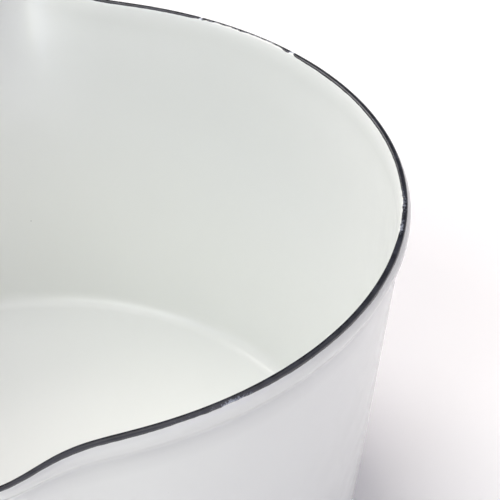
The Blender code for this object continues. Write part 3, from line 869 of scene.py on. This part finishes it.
def add_end_washer():
    """A cupped washer: a rounded rim and a domed outer face."""
    chamfer = 0.2 * MM
    rounding = 0.3 * MM
    edge = WASHER_THICKNESS / 3
    dome = WASHER_THICKNESS - edge
    flat = EYE_COLLAR_RADIUS
    steps = 24
    outline = [(BORE_RADIUS, WASHER_START + chamfer), (BORE_RADIUS, WASHER_END - chamfer)]
    outline.append((BORE_RADIUS + chamfer, WASHER_END))
    for i in range(steps + 1):
        turn = math.pi / 2 * i / steps
        radius = flat + (WASHER_RADIUS - flat) * math.sin(turn)
        outline.append((radius, WASHER_START + edge + dome * math.cos(turn)))
    outline += arc((WASHER_RADIUS - rounding, WASHER_START + rounding), rounding, 0, -90, 5)
    outline.append((BORE_RADIUS + chamfer, WASHER_START))
    look = stainless("washer_steel", level=0.20)
    add_turned("washer_fine", outline, look, "polished_steel", "end_washer")


def torus_mesh(name, radius, wire, columns, wire_columns, place):
    """A torus about the Z axis, moved to its place by a matrix."""
    turns = [-math.tau * i / wire_columns for i in range(wire_columns)]
    outline = [(radius + wire * math.cos(a), wire * math.sin(a)) for a in turns]
    mesh = grid_mesh(name, turned_rows(outline, columns))
    mesh.transform(place)
    return mesh


VOXEL = 0.11 * MM


def eye_collar_outline():
    """The threaded collar's section, from inside the neck down to the foot and up its bore."""
    top = EYE_START + EYE_COLLAR_LENGTH
    shoulder = top - EYE_SHOULDER_LENGTH
    edge = 0.35 * MM
    core = 0.3 * MM
    neck = catmull([
        (EYE_NECK_RADIUS, top), (EYE_NECK_RADIUS + 0.35 * MM, top - 0.9 * MM),
        (EYE_COLLAR_RADIUS - 0.9 * MM, shoulder + 0.45 * MM), (EYE_COLLAR_RADIUS - edge, shoulder),
    ], 6)
    outline = [(core, top + 1.0 * MM), (EYE_NECK_RADIUS * 0.8, top + 1.0 * MM)] + neck
    outline += arc((EYE_COLLAR_RADIUS - edge, shoulder - edge), edge, 80, 0, 5)
    for i in range(1, 9):
        groove = 0.25 * MM * bump_at(i, 4, 1.6)
        outline.append((EYE_COLLAR_RADIUS - groove, shoulder - edge - 0.3 * MM * i))
    outline += arc((EYE_COLLAR_RADIUS - edge, EYE_START + edge), edge, 0, -90, 5)
    outline += [(BORE_RADIUS + 0.3 * MM, EYE_START), (BORE_RADIUS, EYE_START + 0.3 * MM)]
    outline += [(BORE_RADIUS, ROD_END + TOUCH_GAP), (core, ROD_END + TOUCH_GAP)]
    return outline


def add_eye_nut():
    """A threaded collar that narrows into a round eye, forged in one piece."""
    solid = bmesh.new()
    collar = turned_rows(eye_collar_outline(), HANDLE_COLUMNS)
    solid.from_mesh(grid_mesh("eye_collar", collar, closed=False))
    place = Matrix.Translation((0.0, 0.0, EYE_CENTRE)) @ Matrix.Rotation(math.pi / 2, 4, "X")
    solid.from_mesh(torus_mesh("eye_loop", EYE_RING_RADIUS, EYE_WIRE_RADIUS, 96, 40, place))
    mesh = bpy.data.meshes.new("eye_nut_fine")
    solid.to_mesh(mesh)
    solid.free()
    look = drawn_steel("eye_nut_steel", level=0.20)
    piece = add_piece("eye_nut_fine", mesh, look, "polished_steel", PAN, "eye_nut", place=HANDLE_FRAME)
    remesh = piece.modifiers.new("forge", "REMESH")
    remesh.mode = "VOXEL"
    remesh.voxel_size = VOXEL
    remesh.use_smooth_shade = True
    soften = piece.modifiers.new("soften", "SMOOTH")
    soften.factor = 0.5
    soften.iterations = 8
    graph = bpy.context.evaluated_depsgraph_get()
    final = bpy.data.meshes.new_from_object(piece.evaluated_get(graph))
    piece.modifiers.clear()
    piece.data = final
    final.shade_smooth()


RING_GAP = 0.12 * MM
RING_END_ROUNDING = 0.25 * MM
RING_COLUMNS = 240
RING_WIRE_COLUMNS = 36


def add_hanging_ring():
    """Drawn wire bent into a ring. Its two rounded ends meet at a butt joint at the bottom."""
    low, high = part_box("hanging_ring")
    half_gap = RING_GAP / 2 / HANGER_RADIUS
    rows = []
    for i in range(RING_COLUMNS + 1):
        share = i / RING_COLUMNS
        turn = half_gap + (math.tau - 2 * half_gap) * share
        to_end = min(share, 1 - share) * math.tau * HANGER_RADIUS
        past_round = max(0.0, 1 - to_end / RING_END_ROUNDING)
        inset = RING_END_ROUNDING * (1 - math.sqrt(1 - past_round ** 2))
        wire = HANGER_WIRE_RADIUS - inset
        row = []
        for j in range(RING_WIRE_COLUMNS):
            a = math.tau * j / RING_WIRE_COLUMNS
            reach = HANGER_RADIUS + wire * math.cos(a)
            row.append((wire * math.sin(a), reach * math.sin(turn), -reach * math.cos(turn)))
        rows.append(row)
    mesh = grid_mesh("ring_fine", rows, closed=False)
    look = drawn_steel("ring_steel", level=0.16)
    place = Matrix.Translation((low + high) / 2)
    add_piece("ring_fine", mesh, look, "polished_steel", RING, "hanging_ring", place=place, sharp=60)


# ---------------------------------------------------------------- stage, light and camera

FLOOR_SIZE = 6.0
FLOOR_TONE = 0.95
FLOOR_GLOW = 0.07


def add_floor():
    """A pale floor that glows a little, which softens the shadow on it."""
    bpy.ops.mesh.primitive_plane_add(size=FLOOR_SIZE, location=(0.0, 0.0, 0.0))
    floor = bpy.context.object
    floor.name = "studio_floor"
    look = Look("floor", (FLOOR_TONE, FLOOR_TONE, FLOOR_TONE), 0.6)
    look.set(**{"Emission Color": (1.0, 1.0, 1.0, 1.0), "Emission Strength": FLOOR_GLOW})
    floor.data.materials.append(look.material)


# Softboxes: azimuth from +X towards +Y and elevation in degrees, distance and side in metres,
# and radiance.
SOFTBOXES = {
    "key": (125, 44, 3.0, 1.8, (5.25, 4.95, 4.80)),
    "side": (220, 36, 3.0, 2.6, (1.44, 1.50, 1.80)),
    "front": (235, 42, 3.0, 2.2, (1.25, 1.29, 0.88)),
    "right": (332, 37, 3.0, 1.6, (1.20, 1.06, 1.60)),
    "top_back": (90, 72, 2.8, 2.2, (1.20, 1.13, 1.03)),
    "top_front": (240, 75, 2.8, 2.6, (0.97, 0.95, 1.05)),
}


def add_softbox(name, azimuth, elevation, distance, size, radiance):
    """A square light that faces the pan."""
    data = bpy.data.lights.new(name, "AREA")
    data.shape = "SQUARE"
    data.size = size
    brightest = max(radiance)
    data.energy = brightest * math.pi * size * size
    data.color = [value / brightest for value in radiance]
    light = bpy.data.objects.new(name, data)
    bpy.context.scene.collection.objects.link(light)
    a, e = math.radians(azimuth), math.radians(elevation)
    away = Vector((math.cos(a) * math.cos(e), math.sin(a) * math.cos(e), math.sin(e)))
    light.location = Vector((0.0, 0.0, HEIGHT / 2)) + away * distance
    light.rotation_mode = "QUATERNION"
    light.rotation_quaternion = away.to_track_quat("Z", "Y")
    light.visible_camera = False


HORIZON_GLOW = 0.95
SKY_GLOW = 0.06
GLOW_TOP = math.radians(5)
SKY_START = math.radians(14)


def add_world():
    """A pale band round the horizon, as a backdrop, under a dark studio ceiling."""
    world = bpy.data.worlds.new("studio")
    bpy.context.scene.world = world
    world.use_nodes = True
    tree = world.node_tree
    background = tree.nodes["Background"]
    background.inputs["Color"].default_value = (1.0, 1.0, 1.0, 1.0)
    direction = tree.nodes.new("ShaderNodeTexCoord").outputs["Generated"]
    split = tree.nodes.new("ShaderNodeSeparateXYZ")
    tree.links.new(direction, split.inputs[0])
    fade = tree.nodes.new("ShaderNodeMapRange")
    fade.interpolation_type = "SMOOTHSTEP"
    fade.inputs["From Min"].default_value = math.sin(GLOW_TOP)
    fade.inputs["From Max"].default_value = math.sin(SKY_START)
    fade.inputs["To Min"].default_value = HORIZON_GLOW
    fade.inputs["To Max"].default_value = SKY_GLOW
    tree.links.new(split.outputs["Z"], fade.inputs["Value"])
    tree.links.new(fade.outputs["Result"], background.inputs["Strength"])


# The photo's viewpoint, from a camera fitted to its rim, silhouette and floor line.
CAMERA_PLACE = (0.033547, -0.348398, 0.310389)
CAMERA_YAW = math.radians(2.60)
CAMERA_PITCH = math.radians(35.17)
CAMERA_LENS = 150.36


def add_camera():
    data = bpy.data.cameras.new("camera")
    data.sensor_width = 36.0
    data.lens = CAMERA_LENS
    data.clip_start = 0.01
    camera = bpy.data.objects.new("camera", data)
    bpy.context.scene.collection.objects.link(camera)
    camera.location = CAMERA_PLACE
    camera.rotation_euler = (math.pi / 2 - CAMERA_PITCH, 0.0, -CAMERA_YAW)
    bpy.context.scene.camera = camera


add_vessel()
add_rim_coat()
add_handle_plate()
add_handle_socket()
add_rod_anchor()
add_tie_rod()
add_ferrule()
add_grip()
add_end_washer()
add_eye_nut()
add_hanging_ring()

bpy.context.scene.view_settings.view_transform = "Standard"
add_floor()
add_world()
for light_name, setting in SOFTBOXES.items():
    add_softbox(light_name, *setting)
add_camera()
